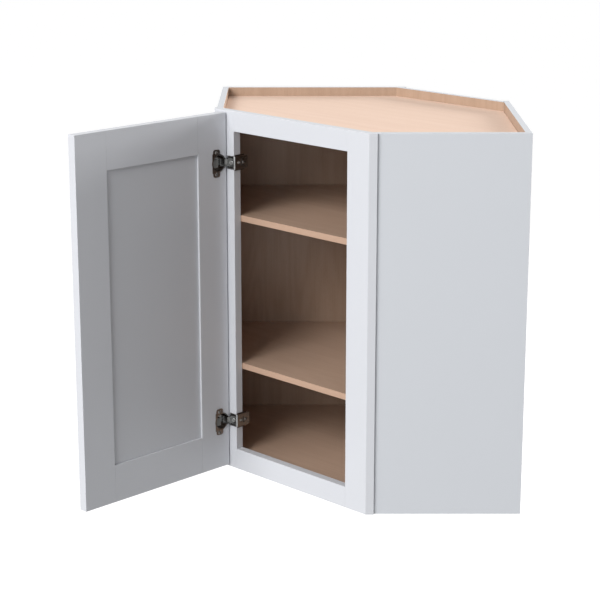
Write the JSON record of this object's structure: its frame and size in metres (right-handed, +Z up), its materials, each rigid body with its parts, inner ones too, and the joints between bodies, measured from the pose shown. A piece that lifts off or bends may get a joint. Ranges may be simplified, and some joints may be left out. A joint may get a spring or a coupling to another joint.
{
  "type": "corner wall cabinet",
  "caption": "Diagonal corner wall cabinet: angled face frame, adjustable shelves and one framed door on concealed hinges, for the corner between two walls.",
  "frame": {"origin": "bottom middle of the narrow corner back panel's rear face; the corner where the two walls meet is 155.6 mm further along +Y, and the wall planes are |x| + y = 155.6 mm", "axes": "+X to the right for someone facing the door opening, +Y from the room into the corner, +Z up; the face frame looks along -Y"},
  "size_m": [0.8558, 0.8934, 0.762],
  "materials": {
    "side_paint": "satin light grey laminate outside, pale maple laminate inside",
    "frame_paint": "satin off-white paint on solid wood",
    "door_paint": "satin off-white paint on solid wood",
    "maple_board": "smooth pale maple-grain laminate on board",
    "hinge_nickel": "nickel-plated pressed steel, satin",
    "screw_zinc": "zinc-plated steel",
    "pin_steel": "nickel-plated steel"
  },
  "bodies": {
    "cabinet": {"left_side_panel": "side_paint", "right_side_panel": "side_paint", "left_back_panel": "maple_board", "right_back_panel": "maple_board", "corner_back_panel": "maple_board", "top_panel": "maple_board", "bottom_panel": "maple_board", "left_stile": "frame_paint", "right_stile": "frame_paint", "top_rail": "frame_paint", "bottom_rail": "frame_paint", "upper_shelf": "maple_board", "lower_shelf": "maple_board", "upper_shelf_pin_left_rear": "pin_steel", "upper_shelf_pin_left_front": "pin_steel", "upper_shelf_pin_left_back": "pin_steel", "upper_shelf_pin_right_rear": "pin_steel", "upper_shelf_pin_right_front": "pin_steel", "upper_shelf_pin_right_back": "pin_steel", "lower_shelf_pin_left_rear": "pin_steel", "lower_shelf_pin_left_front": "pin_steel", "lower_shelf_pin_left_back": "pin_steel", "lower_shelf_pin_right_rear": "pin_steel", "lower_shelf_pin_right_front": "pin_steel", "lower_shelf_pin_right_back": "pin_steel", "upper_hinge_arm": "hinge_nickel", "upper_hinge_plate": "hinge_nickel", "upper_hinge_adjuster": "screw_zinc", "upper_hinge_mounting_screw": "screw_zinc", "lower_hinge_arm": "hinge_nickel", "lower_hinge_plate": "hinge_nickel", "lower_hinge_adjuster": "screw_zinc", "lower_hinge_mounting_screw": "screw_zinc"},
    "door": {"door_hinge_stile": "door_paint", "door_free_stile": "door_paint", "door_top_rail": "door_paint", "door_bottom_rail": "door_paint", "door_centre_panel": "door_paint", "upper_hinge_cup": "hinge_nickel", "upper_hinge_pin": "screw_zinc", "upper_hinge_cup_screw_top": "screw_zinc", "upper_hinge_cup_screw_bottom": "screw_zinc", "lower_hinge_cup": "hinge_nickel", "lower_hinge_pin": "screw_zinc", "lower_hinge_cup_screw_top": "screw_zinc", "lower_hinge_cup_screw_bottom": "screw_zinc"}
  },
  "joints": [
    {"name": "door_swing", "type": "hinge", "parent": "cabinet", "child": "door", "pos_m": [-0.185, -0.5035, 0.3817], "axis": [0, 0, -1], "range_deg": [-90, 15]}
  ]
}
